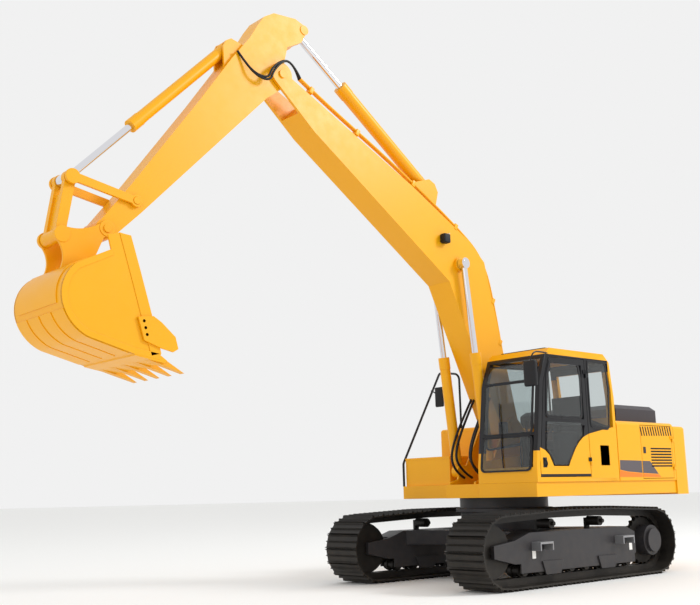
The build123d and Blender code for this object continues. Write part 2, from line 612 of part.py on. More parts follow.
with BuildPart() as cab_door:
    gap = 8
    door = [(DOOR_X[0] + gap, DECK_TOP + 60 + gap), (DOOR_X[1] - gap, DECK_TOP + 60 + gap),
            (DOOR_X[1] - gap - 5, 1500), (725 - gap, 2550), (590 - gap, 2870 - gap),
            (DOOR_X[0] + gap, 2890 - gap)]
    slab(side(CAB_LEFT - 22), door, 44)
    slab(side(CAB_LEFT), [(DOOR_X[0] + 80, 2080), (720, 2080), (660, 2540), (550, 2790),
                          (DOOR_X[0] + 80, 2800)], 200, mode=Mode.SUBTRACT)
    slab(side(CAB_LEFT), [(DOOR_X[0] + 330, 1420), (DOOR_X[1] - 90, 1420), (720, 2000),
                          (DOOR_X[0] + 80, 2000), (DOOR_X[0] + 160, 1700)], 200,
         mode=Mode.SUBTRACT)
    upright_hinge(DOOR_X[0], CAB_LEFT + KNUCKLE, CAB_LEFT - 1, CAB_HINGES, 1, 50 + SEAT, 100)
save(cab_door.part, "cab_door")

with BuildPart() as seat:
    block(-420, 130, 600, 1120, 1700, 1820)
    block(-560, -400, 620, 1100, 1780, 2430)
    block(-330, 50, 700, 1020, DECK_TOP + PILLAR, 1700)
save(seat.part, "operator_seat")

with BuildPart() as hood:
    block(HOOD_REAR + 20, HOOD_FRONT, HOOD_RIGHT, HOOD_LEFT, HOUSE_TOP + SEAT, HOOD_TOP)
    chamfer(hood.faces().sort_by(Axis.Z)[-1].edges(), length=60)
    block(HOOD_REAR + 50, HOOD_FRONT - 30, HOOD_RIGHT + 30, HOOD_LEFT - 30, HOUSE_TOP,
          HOOD_TOP - 70, mode=Mode.SUBTRACT)
    for y in HOOD_HINGES:
        ring(side(y + 60 + SEAT), [(HOOD_FRONT + KNUCKLE, HOUSE_TOP + KNUCKLE)],
             KNUCKLE - SEAT, 0, 60)
        block(HOOD_FRONT - 5, HOOD_FRONT + KNUCKLE, y + 30 + SEAT, y + 90 + SEAT,
              HOUSE_TOP + KNUCKLE, HOUSE_TOP + 2 * KNUCKLE - SEAT)
save(hood.part, "engine_hood")

for out, name in ((1, "service_door_left"), (-1, "service_door_right")):
    with BuildPart() as service:
        block(DOOR_REAR + PANEL_GAP, DOOR_FRONT - PANEL_GAP, out * (HALF - 30), out * HALF,
              DOOR_BOTTOM + PANEL_GAP, DOOR_TOP - PANEL_GAP)
        upright_hinge(DOOR_REAR, out * (HALF + KNUCKLE), out * (HALF - 1), HOUSE_HINGES, 1,
                      40 + SEAT, 80)
    save(service.part, name)

# ---------------------------------------------------------------- boom
FOOT_RADIUS = 180
TIP_RADIUS = 150
BOX_START, BOX_END = 420, 5290
BOOM_OUTLINE = [(-60, 170), (1950, 1310), (2350, 1275), (3550, 890), (5700, 80), (5785, -150),
                (5000, -75), (2200, 520), (60, -175)]


def boom_plane(y):
    return link_side(BOOM_FOOT, BOOM_ANGLE, y)


with BuildPart() as boom:
    with BuildSketch(boom_plane(0)) as web:
        with BuildLine():
            Polyline(*BOOM_OUTLINE, close=True)
        make_face()
        Circle(FOOT_RADIUS)
        with Locations((BOOM_LENGTH, 0)):
            Circle(TIP_RADIUS)
    extrude(web.sketch, amount=BOOM_WIDTH / 2, both=True)
    # the box's inside
    with BuildSketch(boom_plane(0)) as room:
        with BuildLine():
            Polyline((BOX_START, 330), (1950, 1310), (2350, 1275), (3550, 890), (BOX_END, 235),
                     (BOX_END, -105), (5000, -75), (2200, 520), (BOX_START, -50), close=True)
        make_face()
        offset(amount=-PLATE)
    extrude(room.sketch, amount=BOOM_WIDTH / 2 - PLATE, both=True, mode=Mode.SUBTRACT)
    # the fork that the arm turns in
    with BuildSketch(boom_plane(0)) as fork:
        with BuildLine():
            Polyline((BOX_END, 400), (BOX_END, -300), (6100, -300), (6100, 400), close=True)
        make_face()
    extrude(fork.sketch, amount=ARM_WIDTH / 2 + PIN_GAP, both=True, mode=Mode.SUBTRACT)
    ring(boom_plane(0), [BOOM_EYE], 95, 0, 2 * BOOM_CYLINDER_Y - 104)
    ring(boom_plane(0), [(BOOM_LENGTH, 0)], 50, 0, BOOM_WIDTH + 40)
    ring(boom_plane(0), [(0, 0)], 60 + PIN_PLAY, 0, 900, mode=Mode.SUBTRACT)
    for out in (-1, 1):
        slab(boom_plane(out * 110), [
            (3000, 1060), (3170, ARM_CYLINDER_BASE[1] + 60), (3289, ARM_CYLINDER_BASE[1] + 95),
            (3400, ARM_CYLINDER_BASE[1] + 50), (3620, 860)], 30)
    ring(boom_plane(0), [ARM_CYLINDER_BASE], 42, 0, 250)
save(boom.part, "boom")

# ---------------------------------------------------------------- arm
with BuildPart() as arm:
    arm_outline = [(-110, -60), (-140, 60), (-370, 200), (-620, 130), (-800, 180), (-830, 260),
                   (-760, 400), (-500, 620), (-330, 660), (-160, 630), (60, 575), (500, 520),
                   (1250, 390), (2700, 170), (ARM_LENGTH, 100), (ARM_LENGTH, -110),
                   (2800, -120), (400, -100), (0, -150)]

    def arm_plane(y):
        return link_side(BOOM_TIP, ARM_ANGLE, y)

    with BuildSketch(arm_plane(0)) as web:
        with BuildLine():
            Polyline(*arm_outline, close=True)
        make_face()
        Circle(130)
        with Locations((ARM_LENGTH, 0)):
            Circle(110)
    extrude(web.sketch, amount=ARM_WIDTH / 2, both=True)
    with BuildSketch(arm_plane(0)) as room:
        with BuildLine():
            Polyline((160, 500), (500, 490), (1250, 365), (2560, 160), (2560, -100),
                     (400, -85), (160, -90), close=True)
        make_face()
    extrude(room.sketch, amount=ARM_WIDTH / 2 - PLATE, both=True, mode=Mode.SUBTRACT)
    # the gap between the ears for the arm cylinder's eye
    with BuildSketch(arm_plane(0)) as slot:
        with BuildLine():
            Polyline((-1000, -100), (-560, 60), (-560, 420), (-1000, 600), close=True)
        make_face()
    extrude(slot.sketch, amount=70, both=True, mode=Mode.SUBTRACT)
    for out in (-1, 1):
        ring(arm_plane(out * (ARM_WIDTH / 2 + 5)), [ARM_EAR], 62, 0, 10)
    for out in (-1, 1):
        slab(arm_plane(out * 95), [
            (180, 540), (280, BUCKET_CYLINDER_BASE[1] + 60), (365, BUCKET_CYLINDER_BASE[1] + 80),
            (450, BUCKET_CYLINDER_BASE[1] + 50), (640, 480)], 30)
    ring(arm_plane(0), [BUCKET_CYLINDER_BASE], 38, 0, 220)
    ring(arm_plane(0), [SIDE_LINK_PIN], 40, 0, ARM_WIDTH + 100)
    ring(arm_plane(0), [(0, 0)], 50 + PIN_PLAY, 0, ARM_WIDTH + 40, mode=Mode.SUBTRACT)
    ring(arm_plane(0), [(ARM_LENGTH, 0)], 45 + PIN_PLAY, 0, ARM_WIDTH + 40, mode=Mode.SUBTRACT)
save(arm.part, "arm")


# ---------------------------------------------------------------- cylinders
def angle_of(a, b):
    return degrees(atan2(b[1] - a[1], b[0] - a[0]))


def span_of(a, b):
    return hypot(b[0] - a[0], b[1] - a[1])




GLAND_RIM = 6
BARREL_BORE_START = 40      # past the base eye


def save_cylinder(names, base, rod_end, ys, barrel_length, barrel_radius, rod_radius,
                  base_pin, rod_pin, eye_radius, eye_width, longest):
    """A barrel from its base pin, and a rod that ends in an eye round its pin."""
    angle, span = angle_of(base, rod_end), span_of(base, rod_end)
    inside = longest - span + 100
    with BuildPart() as barrel:
        for y in ys:
            plane = link_side(base, angle, y)
            along = Plane(origin=plane.origin, x_dir=plane.z_dir, z_dir=plane.x_dir)
            ring(plane, [(0, 0)], eye_radius, 0, eye_width)
            with BuildSketch(along) as neck:
                Circle(eye_width * 0.49)
            extrude(neck.sketch, amount=eye_radius * NECK)
            with BuildSketch(along.offset(eye_radius * NECK)) as tube:
                Circle(barrel_radius)
            extrude(tube.sketch, amount=barrel_length - eye_radius * NECK)
            with BuildSketch(along.offset(barrel_length - 160)) as gland:
                Circle(barrel_radius + GLAND_RIM)
            extrude(gland.sketch, amount=160)
            with BuildSketch(along.offset(eye_radius + BARREL_BORE_START)) as bore:
                Circle(rod_radius + ROD_PLAY)
            extrude(bore.sketch, amount=barrel_length, mode=Mode.SUBTRACT)
            ring(plane, [(0, 0)], base_pin + PIN_PLAY, 0, eye_width * 2, mode=Mode.SUBTRACT)
    save(barrel.part, names[0])
    with BuildPart() as rod:
        for y in ys:
            plane = link_side(base, angle, y)
            along = Plane(origin=plane.origin, x_dir=plane.z_dir, z_dir=plane.x_dir)
            with BuildSketch(along.offset(barrel_length - inside)) as bar:
                Circle(rod_radius)
            extrude(bar.sketch, amount=span - barrel_length + inside)
            ring(plane, [(span, 0)], eye_radius * 0.9, 0, eye_width)
            ring(plane, [(span, 0)], rod_pin, 0, eye_width + 2 * PIN_CAP)
    save(rod.part, names[1])


BOOM_EYE_PIN_RADIUS = 45
PIN_CAP = 3                 # how far a rod's own pin stands out of its eye
NECK = 1.35                 # eye radii from the base pin to the barrel's end plate
save_cylinder(("boom_cylinders", "boom_rods"), BOOM_CYLINDER_FOOT, BOOM_EYE_PIN,
              (BOOM_CYLINDER_Y, -BOOM_CYLINDER_Y), 1590, 72, 42, 48, BOOM_EYE_PIN_RADIUS, 84, 90,
              3000)
save_cylinder(("arm_cylinder", "arm_rod"), ARM_BASE_PIN, ARM_EAR_PIN, (0,), 1900, 88, 48,
              42, 40, 84, 120, 3450)
save_cylinder(("bucket_cylinder", "bucket_rod"), BUCKET_BASE_PIN, ROD_PIN, (0,), 1770, 70, 40,
              38, 40, 76, 116, 3140)

# ---------------------------------------------------------------- bucket and its linkage
LINK_Y = ARM_WIDTH / 2 + PIN_GAP + 18
SIDE_LINK_THICK = 36
LINK_PIN = 40               # radius of the pins at both ends of the side links
ROD_EYE_CLEAR = 66          # the pin's two halves start here, beside the rod's eye
side_angle = angle_of(IDLER_LINK_PIN, ROD_PIN)
with BuildPart() as side_links:
    for out in (-1, 1):
        plane = link_side(IDLER_LINK_PIN, side_angle, out * LINK_Y)
        slab(plane, [(0, -45), (SIDE_LINK_LENGTH, -48), (SIDE_LINK_LENGTH, 48), (0, 45)],
             SIDE_LINK_THICK)
        ring(plane, [(0, 0)], 68, 0, SIDE_LINK_THICK)
        ring(plane, [(SIDE_LINK_LENGTH, 0)], 80, 0, SIDE_LINK_THICK)
    plane = link_side(IDLER_LINK_PIN, side_angle, 0)
    ring(plane, [(0, 0)], LINK_PIN + PIN_PLAY, 0, 3 * LINK_Y, mode=Mode.SUBTRACT)
    for out in (-1, 1):
        plane = link_side(IDLER_LINK_PIN, side_angle, out * (ROD_EYE_CLEAR + LINK_Y) / 2)
        ring(plane, [(SIDE_LINK_LENGTH, 0)], LINK_PIN, 0, LINK_Y - ROD_EYE_CLEAR)
save(side_links.part, "side_links")

link_angle = angle_of(ROD_PIN, BUCKET_LINK_PIN)
with BuildPart() as bucket_link:
    for out in (-1, 1):
        plane = link_side(ROD_PIN, link_angle, out * 108)
        slab(plane, [(0, -58), (BUCKET_LINK_LENGTH, -55), (BUCKET_LINK_LENGTH, 55), (0, 58)], 70)
        ring(plane, [(0, 0)], 76, 0, 70)
    plane = link_side(ROD_PIN, link_angle, 0)
    ring(plane, [(BUCKET_LINK_LENGTH, 0)], 74, 0, ARM_WIDTH)
    slab(plane, [(170, -30), (BUCKET_LINK_LENGTH - 40, -30), (BUCKET_LINK_LENGTH - 40, 30),
                 (170, 30)], 200)
    ring(plane, [(0, 0)], LINK_PIN + PIN_PLAY, 0, 600, mode=Mode.SUBTRACT)
save(bucket_link.part, "bucket_link")


def bucket_plane(y):
    return link_side(BUCKET_PIN, BUCKET_ANGLE, y)


EAR_Y = ARM_WIDTH / 2 + PIN_GAP + 20
# the side plate's outline, the wrapper's back and its inner face, all in the bucket's frame
BUCKET_SIDE = [(-50, -130), (230, -280), (480, -375), (680, -400), (790, -520), (835, -680),
               (810, -850), (720, -1000), (600, -1095), (240, -1300), (-60, -1430),
               (-95, -1290), (-90, -1000)]
WRAPPER = [(205, -270), (480, -375), (680, -400), (790, -520), (835, -680), (810, -850),
           (720, -1000), (600, -1095), (240, -1300), (-90, -1443),
           (-80, -1405), (228, -1270), (583, -1065), (697, -975), (778, -840), (803, -682),
           (762, -535), (665, -428), (482, -402), (212, -300)]
SIDE_PLATE = 30
with BuildPart() as bucket:
    slab(bucket_plane(0), WRAPPER, BUCKET_WIDTH)
    for out in (-1, 1):
        slab(bucket_plane(out * (BUCKET_WIDTH - SIDE_PLATE) / 2), BUCKET_SIDE, SIDE_PLATE)
    for out in (-1, 1):
        slab(bucket_plane(out * EAR_Y), [(-88, 0), (-60, 64), (0, 88), (250, 60),
             (BUCKET_PIN_SPAN, 95), (BUCKET_PIN_SPAN + 75, 40), (BUCKET_PIN_SPAN + 60, -60),
             (BUCKET_PIN_SPAN + 5, -200), (640, -398), (480, -380), (215, -285), (60, -90)], 30)
        ring(bucket_plane(out * EAR_Y), [(0, 0), (BUCKET_PIN_SPAN, 0)], 88, 0, 38)
    ring(bucket_plane(0), [(0, 0)], 45, 0, 2 * EAR_Y)
save(bucket.part, "bucket")

TOOTH_COUNT = 5
with BuildPart() as teeth:
    for k in range(TOOTH_COUNT):
        y = (k / (TOOTH_COUNT - 1) - 0.5) * (BUCKET_WIDTH - 130)
        slab(bucket_plane(y), [(60, -1400), (-110, -1500), (-330, -1625), (-140, -1440),
                               (-95, -1400)], 78)
    slab(bucket_plane(0), WRAPPER, BUCKET_WIDTH, mode=Mode.SUBTRACT)
save(teeth.part, "bucket_teeth")

with BuildPart() as cutters:
    for out in (-1, 1):
        slab(bucket_plane(out * (BUCKET_WIDTH / 2 + 12)), [
            (85, -965), (-90, -990), (-165, -1065), (-290, -1242), (-292, -1368), (-226, -1388),
            (-98, -1323), (73, -1210)], 24)
save(cutters.part, "side_cutters")
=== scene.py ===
"""Dresses a crawler excavator: enamel, steel, rubber, glass and the small fittings.

Metres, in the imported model's frame: +X forward along the boom, +Y to the left, +Z up.
The sections follow the machine as it is put together, from the tracks up to the bucket.
"""
import json
from math import atan2, cos, hypot, pi, radians, sin

import bmesh
import bpy
from mathutils import Matrix, Vector


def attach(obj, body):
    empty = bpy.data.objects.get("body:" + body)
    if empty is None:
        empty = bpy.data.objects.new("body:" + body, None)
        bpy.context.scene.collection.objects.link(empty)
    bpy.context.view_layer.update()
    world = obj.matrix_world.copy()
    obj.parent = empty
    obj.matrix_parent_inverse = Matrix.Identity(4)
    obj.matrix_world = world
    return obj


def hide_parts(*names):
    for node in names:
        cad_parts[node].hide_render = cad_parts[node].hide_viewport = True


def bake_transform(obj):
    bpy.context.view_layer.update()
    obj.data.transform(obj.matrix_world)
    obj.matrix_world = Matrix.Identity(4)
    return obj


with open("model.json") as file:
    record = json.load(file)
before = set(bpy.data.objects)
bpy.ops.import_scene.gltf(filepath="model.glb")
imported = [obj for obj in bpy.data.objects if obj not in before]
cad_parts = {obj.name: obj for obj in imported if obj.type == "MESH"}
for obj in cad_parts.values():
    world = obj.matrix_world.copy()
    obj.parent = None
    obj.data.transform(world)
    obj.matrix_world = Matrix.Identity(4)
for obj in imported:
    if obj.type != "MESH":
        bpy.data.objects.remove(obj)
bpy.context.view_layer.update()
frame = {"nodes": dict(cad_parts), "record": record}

# ---------------------------------------------------------------- camera
# A viewer ahead of the machine on its cab side, standing, who looks up a little at the whole
# boom. The lens is that of a normal photograph, and the head leans over by a degree.
SWING = Vector(next(j for j in frame["record"]["behaviour"]["joints"]
                    if j["name"] == "swing")["pos_m"])
EYE_AHEAD, EYE_LEFT, EYE_HEIGHT = 11.108, 9.270, 1.173
YAW, PITCH, LEAN = -2.3016, 0.1891, -0.0239
LENS_MM, FILM_MM = 51.59, 36.0
SIGHT_LIMIT = 200

look = Vector((cos(YAW) * cos(PITCH), sin(YAW) * cos(PITCH), sin(PITCH)))
right = look.cross(Vector((0, 0, 1))).normalized()
up = right.cross(look)
right, up = right * cos(LEAN) + up * sin(LEAN), up * cos(LEAN) - right * sin(LEAN)
lens = bpy.data.cameras.new("camera")
lens.lens, lens.sensor_width, lens.clip_end = LENS_MM, FILM_MM, SIGHT_LIMIT
camera = bpy.data.objects.new("camera", lens)
camera.matrix_world = Matrix((
    (right.x, up.x, -look.x, SWING.x + EYE_AHEAD),
    (right.y, up.y, -look.y, SWING.y + EYE_LEFT),
    (right.z, up.z, -look.z, EYE_HEIGHT),
    (0, 0, 0, 1)))
bpy.context.collection.objects.link(camera)
bpy.context.scene.camera = camera
bpy.context.scene.view_settings.view_transform = "Standard"

# ---------------------------------------------------------------- floor and light
# A plain pale studio floor under soft light: a wide pale sky, one large lamp high behind the
# machine's left rear, and a weaker one ahead of it that opens the shaded fronts.
FLOOR_COLOUR = "#F4F4F2"
FLOOR_SIZE = 400.0
SKY_STRENGTH = 0.88
LIT_POINT = (0, 0, 3)


def linear(colour):
    """An sRGB hex colour as the linear values that a shader takes."""
    parts = [int(colour[i:i + 2], 16) / 255 for i in (1, 3, 5)]
    return [c / 12.92 if c < 0.04045 else ((c + 0.055) / 1.055) ** 2.4 for c in parts] + [1]


def add(tree, kind, links=(), **settings):
    """One node with its settings; links are (socket name or number, where it comes from)."""
    made = tree.nodes.new(kind)
    for name, value in settings.items():
        setattr(made, name, value)
    for socket, source in links:
        entry = made.inputs[socket]
        if isinstance(source, bpy.types.NodeSocket):
            tree.links.new(source, entry)
        else:
            entry.default_value = source
    return made


def surface(name):
    """A new material: its tree and the shader that its finish is set on."""
    material = bpy.data.materials.new(name)
    material.use_nodes = True
    return material, material.node_tree, material.node_tree.nodes["Principled BSDF"]


floor_paint, tree, shader = surface("matt_floor_paint")
shader.inputs["Base Color"].default_value = linear(FLOOR_COLOUR)
shader.inputs["Roughness"].default_value = 0.9
mesh = bpy.data.meshes.new("floor")
half = FLOOR_SIZE / 2
mesh.from_pydata([(-half, -half, 0), (half, -half, 0), (half, half, 0), (-half, half, 0)], [],
                 [(0, 1, 2, 3)])
mesh.materials.append(floor_paint)
floor = bpy.data.objects.new("floor", mesh)
bpy.context.collection.objects.link(floor)

world = bpy.data.worlds.new("sky")
world.use_nodes = True
background = world.node_tree.nodes["Background"]
background.inputs["Color"].default_value = linear("#FFFFFF")
background.inputs["Strength"].default_value = SKY_STRENGTH
bpy.context.scene.world = world


def lamp(name, place, power, size):
    """A square soft lamp of some watts and metres that faces the machine."""
    light = bpy.data.lights.new(name, "AREA")
    light.energy, light.size = power, size
    holder = bpy.data.objects.new(name, light)
    holder.location = place
    holder.rotation_euler = (Vector(LIT_POINT) - Vector(place)).to_track_quat("-Z", "Y").to_euler()
    bpy.context.collection.objects.link(holder)


lamp("key_lamp", (-14, 16, 17), 3000, 6)
lamp("fill_lamp", (18, 6, 9), 200, 12)

# ---------------------------------------------------------------- undercarriage
# Loops of rolled-steel shoes run round two welded track frames, and a car body joins them.
# The frames are sprayed dark grey; shoes, rollers and wheels are bare steel, dark and dusty.
# Galvanised steps are bolted to the frames, and blank labels are stuck beside them.
BODY_OF = {node: body for body, nodes in frame["record"]["behaviour"]["bodies"].items()
           for node in nodes}
CLOUD_SCALE = 1.3       # the tone drifts over about 0.8 m
GRAIN_SCALE = 9.0       # dust and gloss change over about 0.1 m
PEEL_SCALE, PEEL_DEPTH = 240.0, 0.002       # a ripple of the paint every 4 mm or so
DUST_TOP, DUST_COLOUR = 1.5, "#A89A86"
MERGE = 0.00005         # corners closer than this are one
FLAT_WITHIN = 0.6       # degrees by which one flat face may turn


def painted(name, colour, roughness, dust=0.0, metallic=0.0, peel=0.02, shade=0.06):
    """A sprayed or rolled surface: cloudy tone, cloudy gloss, dust near the ground."""
    material, tree, shader = surface(name)
    place = add(tree, "ShaderNodeTexCoord").outputs["Object"]
    clouds = add(tree, "ShaderNodeTexNoise", [("Vector", place), ("Scale", CLOUD_SCALE),
                                              ("Detail", 6)])
    tone = add(tree, "ShaderNodeMapRange", [(0, clouds.outputs[0]), (3, 1 - shade),
                                           (4, 1 + shade * 0.4)])
    paint = add(tree, "ShaderNodeMix", [(0, 1.0), (6, linear(colour)), (7, tone.outputs[0])],
                data_type="RGBA", blend_type="MULTIPLY")
    height = add(tree, "ShaderNodeSeparateXYZ", [(0, place)])
    low = add(tree, "ShaderNodeMapRange", [(0, height.outputs[2]), (1, 0.0), (2, DUST_TOP),
                                          (3, dust), (4, 0.0)])
    grain = add(tree, "ShaderNodeTexNoise", [("Vector", place), ("Scale", GRAIN_SCALE),
                                             ("Detail", 8)])
    film = add(tree, "ShaderNodeMath", [(0, low.outputs[0]), (1, grain.outputs[0])],
               operation="MULTIPLY")
    mixed = add(tree, "ShaderNodeMix", [(0, film.outputs[0]), (6, paint.outputs[2]),
                                        (7, linear(DUST_COLOUR))], data_type="RGBA")
    tree.links.new(mixed.outputs[2], shader.inputs["Base Color"])
    gloss = add(tree, "ShaderNodeMapRange", [(0, grain.outputs[0]), (3, roughness - 0.06),
                                            (4, roughness + 0.1)])
    tree.links.new(gloss.outputs[0], shader.inputs["Roughness"])
    shader.inputs["Metallic"].default_value = metallic
    shader.inputs["Specular IOR Level"].default_value = 0.35
    skin = add(tree, "ShaderNodeTexNoise", [("Vector", place), ("Scale", PEEL_SCALE)])
    bump = add(tree, "ShaderNodeBump", [("Strength", peel), ("Distance", PEEL_DEPTH),
                                        ("Height", skin.outputs[0])])
    tree.links.new(bump.outputs[0], shader.inputs["Normal"])
    return material


def softened(piece, edge, sharp):
    """Rounds the sharp edges by a radius and keeps the broad faces flat in their shading."""
    piece.data.shade_smooth()
    rounded = piece.modifiers.new("soft_edges", "BEVEL")
    rounded.width, rounded.segments, rounded.limit_method = edge, 2, "ANGLE"
    rounded.angle_limit = radians(sharp)
    flat = piece.modifiers.new("flat_faces", "WEIGHTED_NORMAL")
    flat.weight, flat.keep_sharp = 100, True
    bpy.context.view_layer.update()
    made = bpy.data.meshes.new_from_object(
        piece.evaluated_get(bpy.context.evaluated_depsgraph_get()))
    piece.modifiers.clear()
    piece.data = made


def dressed(node, material, edge=0.004, sharp=28):
    """The node's own faces with softened edges, in the real finish, in the node's place."""
    source = frame["nodes"][node]
    copy = source.copy()
    copy.data = source.data.copy()
    copy.name = f"{node}_finished"
    copy.parent = None
    bpy.context.collection.objects.link(copy)
    bm = bmesh.new()
    bm.from_mesh(copy.data)
    bmesh.ops.remove_doubles(bm, verts=bm.verts, dist=MERGE)
    bmesh.ops.dissolve_limit(bm, angle_limit=radians(FLAT_WITHIN), verts=bm.verts, edges=bm.edges)
    bm.to_mesh(copy.data)
    bm.free()
    if copy.data.has_custom_normals:
        copy.data.attributes.remove(copy.data.attributes["custom_normal"])
    softened(copy, edge, sharp)
    copy.data.materials.clear()
    copy.data.materials.append(material)
    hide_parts(node)
    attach(copy, BODY_OF[node])
    return copy


def built(name, bm, material, smooth=False):
    """An object from a finished mesh, in one finish."""
    mesh = bpy.data.meshes.new(name)
    bm.to_mesh(mesh)
    bm.free()
    if smooth:
        mesh.shade_smooth()
    mesh.materials.append(material)
    piece = bpy.data.objects.new(name, mesh)
    bpy.context.collection.objects.link(piece)
    return piece


def at(x, y, z):
    """A place counted from the swing axis."""
    return Vector((SWING.x + x, y, z))


def solid(name, corners, depth, material, body):
    """A flat plate: its outline as places, thickened along its own normal."""
    bm = bmesh.new()
    face = bm.faces.new([bm.verts.new(c) for c in corners])
    face.normal_update()
    normal = face.normal.copy()
    grown = bmesh.ops.extrude_face_region(bm, geom=[face])
    moved = [g for g in grown["geom"] if isinstance(g, bmesh.types.BMVert)]
    bmesh.ops.translate(bm, verts=moved, vec=normal * depth)
    bmesh.ops.recalc_face_normals(bm, faces=bm.faces)
    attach(built(name, bm, material), body)


def rectangle(x, z, half_x, half_z):
    """The corners of an upright rectangle about its middle."""
    return [(x - half_x, z - half_z), (x + half_x, z - half_z), (x + half_x, z + half_z),
            (x - half_x, z + half_z)]


# Two-part enamel on welded plate, half gloss, with dust on its lower parts.
grey_enamel = painted("dark_grey_enamel", "#2B2B30", 0.4, dust=0.12)
# Rolled steel gone brown-black in use: a dull metal sheen under packed dust.
worn_steel = painted("rolled_steel", "#1A1919", 0.45, dust=0.12, metallic=0.3, peel=0.1)
# Zinc on pressed plate: pale grey and half metallic.
tread_plate = painted("galvanised_plate", "#9A9A9C", 0.45, metallic=0.6)
for node in ("track_frame_left", "track_frame_right", "final_drives", "chain_guards", "car_body",
             "tow_lug", "swing_bearing"):
    dressed(node, grey_enamel)
for node in ("idlers", "sprockets", "track_rollers", "carrier_rollers"):
    dressed(node, worn_steel, 0.002)
for node in ("track_left", "track_right"):
    dressed(node, worn_steel, 0.003)
dressed("track_steps", tread_plate, 0.001)
LABEL_FACE, LABEL_THICK, LABEL_HALVES = 1.253, 0.0008, (0.035, 0.055)
# Printed vinyl left plain: off-white and half matt.
white_film = painted("white_film", "#F2F0EC", 0.4, shade=0.02)
for number, (x, z) in enumerate(((0.974, 0.400), (-1.134, 0.397))):
    solid(f"blank_label_{number}",
          [at(a, LABEL_FACE, b) for a, b in rectangle(x, z, *LABEL_HALVES)], LABEL_THICK,
          white_film, "undercarriage")

# ---------------------------------------------------------------- house and deck
# Deck, panels, tank, tool box and the cast counterweight are steel under baked yellow enamel,
# the hood is charcoal and the handrails are bent black tube. The panels, the hood and the
# tool box's lid hang on hinges; the rest is bolted down.
PANEL_EDGE = 0.006
# Baked enamel: glossy, with a faint orange peel and a film of dust.
yellow_enamel = painted("yellow_baked_enamel", "#F6AE08", 0.34, dust=0.06)
# Satin enamel on tube and window frames: a deep black with a soft gleam.
black_enamel = painted("satin_black_enamel", "#121216", 0.3, dust=0.05)
# A flatter enamel that stands the engine's heat.
hood_enamel = painted("charcoal_enamel", "#3A363B", 0.42)
for node, edge in {"counterweight": 0.055, "left_house": 0.016, "right_house": 0.016,
                   "tank": 0.06, "tool_box": 0.03, "tool_box_lid": 0.01,
                   "service_door_left": PANEL_EDGE, "service_door_right": PANEL_EDGE,
                   "revolving_frame": 0.03}.items():
    dressed(node, yellow_enamel, edge)
for node in ("engine_block", "cooler", "pump"):
    dressed(node, grey_enamel, PANEL_EDGE)
dressed("engine_hood", hood_enamel, 0.03)
dressed("handrails", black_enamel, 0.002)

# ---------------------------------------------------------------- markings and vents
# On the left panels a grey flash over an orange wedge, in plain vinyl film, is cut where the
# service door's seam runs. The door has thirteen slanted slots over seven louvres, each a thin
# dark plate on its face that paints the shade inside the opening, and a small lock plate.
SIDE_FACE = 1.3556      # just proud of the left panels
FILM = 0.0006


def on_left(corners, y):
    """Places on a left side face, wound so that a plate there grows outwards."""
    turn = sum(a[0] * b[1] - b[0] * a[1] for a, b in zip(corners, corners[1:] + corners[:1]))
    return [at(x, y, z) for x, z in (corners if turn < 0 else corners[::-1])]


# Cut vinyl film: smooth, even colour, half matt.
grey_film = painted("grey_vinyl_film", "#5C5559", 0.4, peel=0.0, shade=0.02)
orange_film = painted("orange_vinyl_film", "#FF7F1E", 0.4, peel=0.0, shade=0.02)
STRIPES = {
    "stripe_grey": ("upper", grey_film, [(-0.873, 1.550), (-0.862, 1.420), (-1.050, 1.395),
                                         (-1.403, 1.375), (-1.403, 1.543)]),
    "stripe_orange": ("upper", orange_film, [(-0.862, 1.414), (-0.844, 1.321), (-1.403, 1.318),
                                             (-1.403, 1.369), (-1.050, 1.389)]),
    "door_stripe_grey": ("service_door_left", grey_film, [
        (-1.425, 1.542), (-1.425, 1.374), (-1.815, 1.360), (-1.616, 1.539)]),
    "door_stripe_orange": ("service_door_left", orange_film, [
        (-1.425, 1.368), (-1.425, 1.318), (-1.880, 1.314), (-1.822, 1.354)])}
for name, (body, film, outline) in STRIPES.items():
    solid(name, on_left(outline, SIDE_FACE), FILM, film, body)

# Painted shade: one dark matt face on each slot and louvre stands in for the shade inside it.
slot_shade_black = painted("painted_slot_shade", "#101012", 0.7, peel=0.4)


def slot_row(name, start, end, count, lean, width):
    """Thin dark plates of painted slot shade side by side between two corners of the left service
    door.
    """
    (x0, z0), (x1, z1) = start, end
    lean = Vector(lean)
    side = Vector((lean.y, -lean.x)).normalized() * width / 2
    for k in range(count):
        top = Vector((x0 + (x1 - x0) * k / (count - 1), z0 + (z1 - z0) * k / (count - 1)))
        solid(f"{name}_{k}", on_left([top + side, top + lean + side, top + lean - side,
                                      top - side], SIDE_FACE), FILM, slot_shade_black,
              "service_door_left")


# Each slot and louvre is a dark plate of painted shade on the door's face, not an opening.
slot_row("top_slot", (-1.425, 2.020), (-2.190, 2.036), 13, (-0.035, -0.130), 0.026)
slot_row("louvre", (-1.655, 1.715), (-1.655, 1.470), 7, (-0.540, 0.002), 0.021)
LOCK, LOCK_HALVES, LOCK_THICK = (-1.497, 1.692), (0.03, 0.045), 0.004
solid("lock_plate", on_left(rectangle(*LOCK, *LOCK_HALVES), SIDE_FACE), LOCK_THICK, grey_enamel,
      "service_door_left")

# ---------------------------------------------------------------- cab
# A welded steel cell, yellow below the waist and on the roof and black round the windows. The
# panes are bonded in rounded black rims. The door hangs on its own hinges, and the mirrors,
# the hatch, the wiper and the handle are screwed on outside.
CAB_RIGHT, CAB_FACE = 0.385, 1.355
WAIST, SCREEN_WAIST, ROOF_BAND, PILLAR_X, REAR_POST_X = 1.890, 1.66, 2.905, -0.12, -0.735


